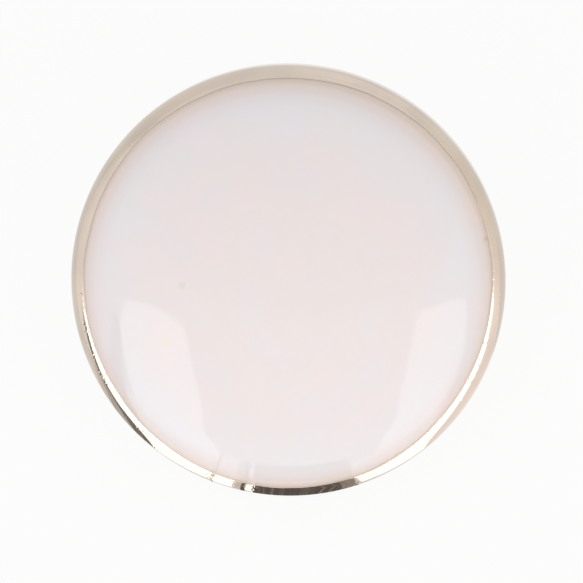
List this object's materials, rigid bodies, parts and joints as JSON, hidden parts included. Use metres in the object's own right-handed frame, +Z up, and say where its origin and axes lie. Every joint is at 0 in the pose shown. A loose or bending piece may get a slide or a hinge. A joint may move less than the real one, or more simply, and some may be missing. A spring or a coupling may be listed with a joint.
{
  "type": "shank button",
  "caption": "Round sew-on button: a domed pearl-white resin face set in a pale gold metal cup that has a cast loop on its back.",
  "frame": {"origin": "on the table, under the middle of the button as it lies at rest", "axes": "+Z up; the button leans over towards -Y, resting on the back of its rim at -Y and on the end of its shank; +X along the eye's wall, across the button"},
  "size_m": [0.02, 0.0182, 0.0108],
  "materials": {
    "plated_casting": "die-cast zinc alloy, polished and plated a pale champagne gold",
    "pearl_resin": "poured epoxy resin, milky pearl white with a faint pink tint, glossy"
  },
  "bodies": {
    "root": {"button_body": "plated_casting", "resin_dome": "pearl_resin"}
  },
  "joints": []
}
